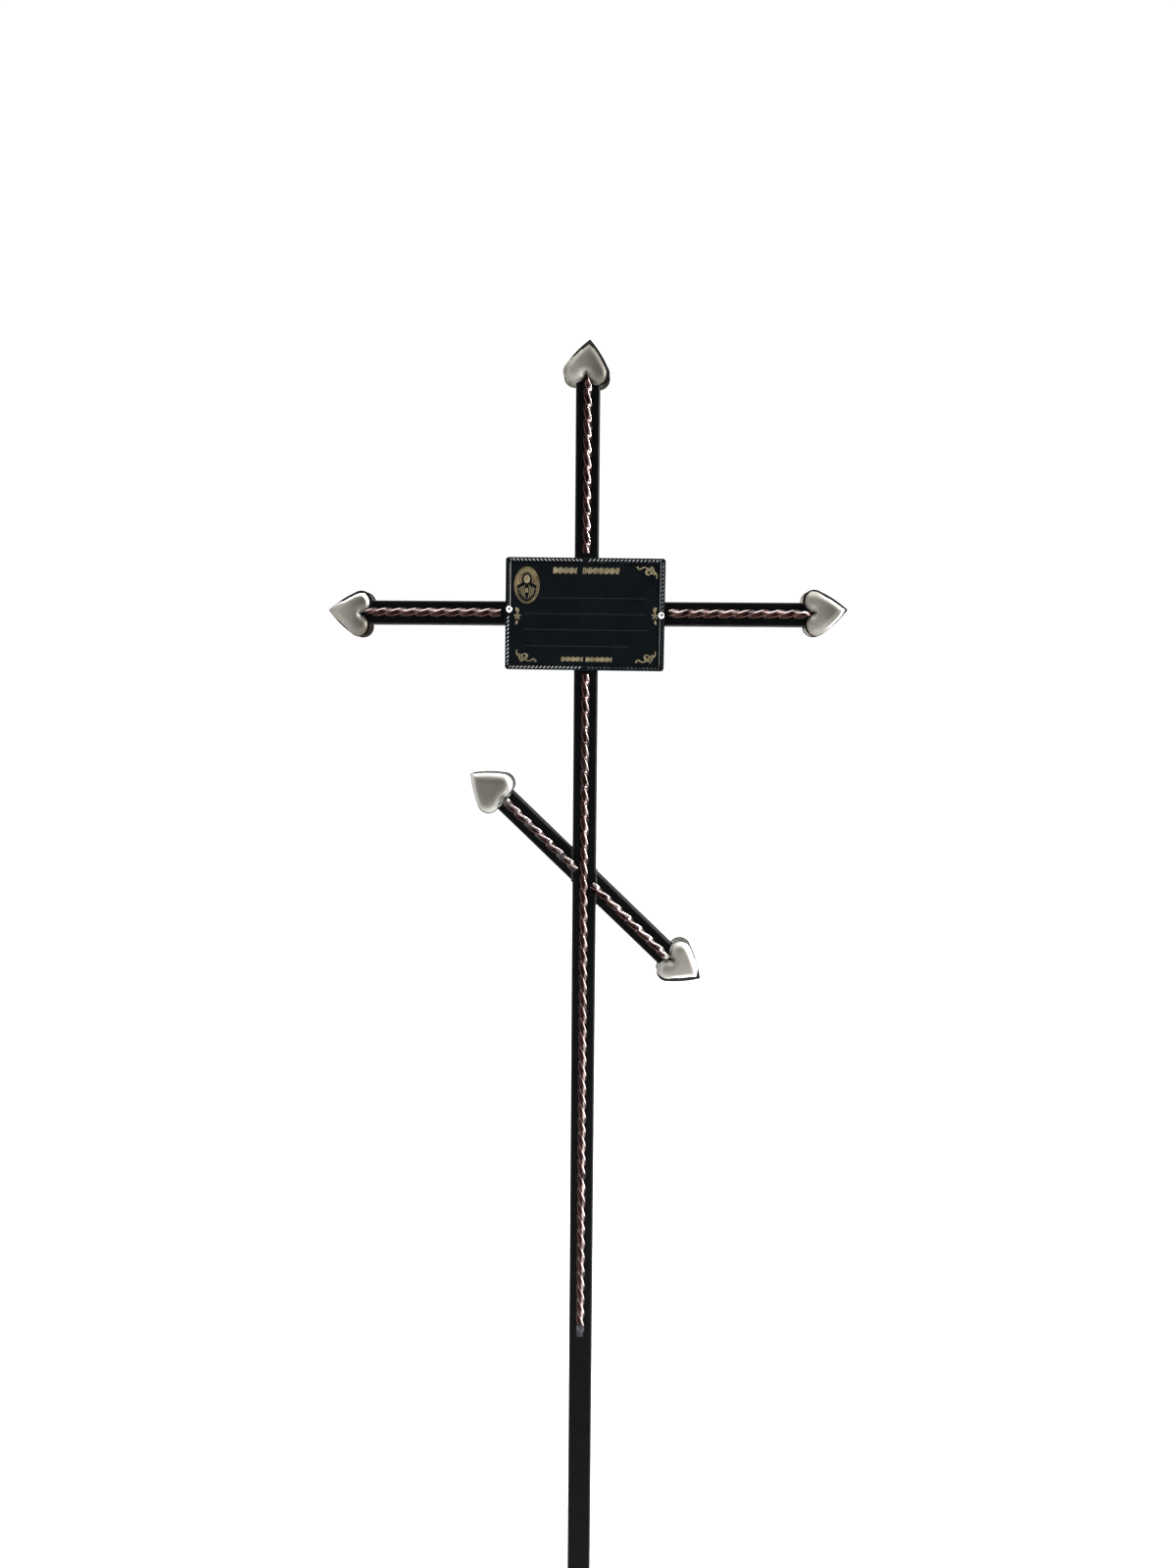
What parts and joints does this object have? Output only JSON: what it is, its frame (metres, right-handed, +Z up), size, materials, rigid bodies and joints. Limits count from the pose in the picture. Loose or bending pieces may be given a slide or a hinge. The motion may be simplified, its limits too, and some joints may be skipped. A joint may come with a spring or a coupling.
{
  "type": "metal grave cross",
  "caption": "Welded steel grave cross of rectangular tube with a slanted lower bar, twisted bars on its front, pressed heart finials and a rope-edged plaque; its post is set in the ground.",
  "frame": {"origin": "middle of the post where it is cut off flat at the ground", "axes": "+Z up along the post, -Y towards the viewer in front of the plaque, +X along the right arm"},
  "size_m": [0.6504, 0.0409, 1.7002],
  "materials": {
    "black_paint": "black gloss paint on steel tube, slightly uneven",
    "copper_paint": "dark copper-brown metallic paint over black, bright along the edges",
    "satin_nickel": "satin nickel-plated pressed sheet with a black-painted lip",
    "plaque_enamel": "black satin enamel with a dull gold print",
    "gold_print": "dull gold print, slightly raised",
    "screw_steel": "bright domed screw head"
  },
  "bodies": {
    "root": {"post": "black_paint", "left_arm": "black_paint", "right_arm": "black_paint", "upper_slant": "black_paint", "lower_slant": "black_paint", "top_twisted_bar": "copper_paint", "post_twisted_bar": "copper_paint", "left_twisted_bar": "copper_paint", "right_twisted_bar": "copper_paint", "upper_slant_twisted_bar": "copper_paint", "lower_slant_twisted_bar": "copper_paint", "top_heart_front": "satin_nickel", "top_heart_back": "satin_nickel", "left_heart_front": "satin_nickel", "left_heart_back": "satin_nickel", "right_heart_front": "satin_nickel", "right_heart_back": "satin_nickel", "upper_slant_heart_front": "satin_nickel", "upper_slant_heart_back": "satin_nickel", "lower_slant_heart_front": "satin_nickel", "lower_slant_heart_back": "satin_nickel", "plaque": "plaque_enamel", "left_plaque_screw": "screw_steel", "right_plaque_screw": "screw_steel"}
  },
  "joints": []
}
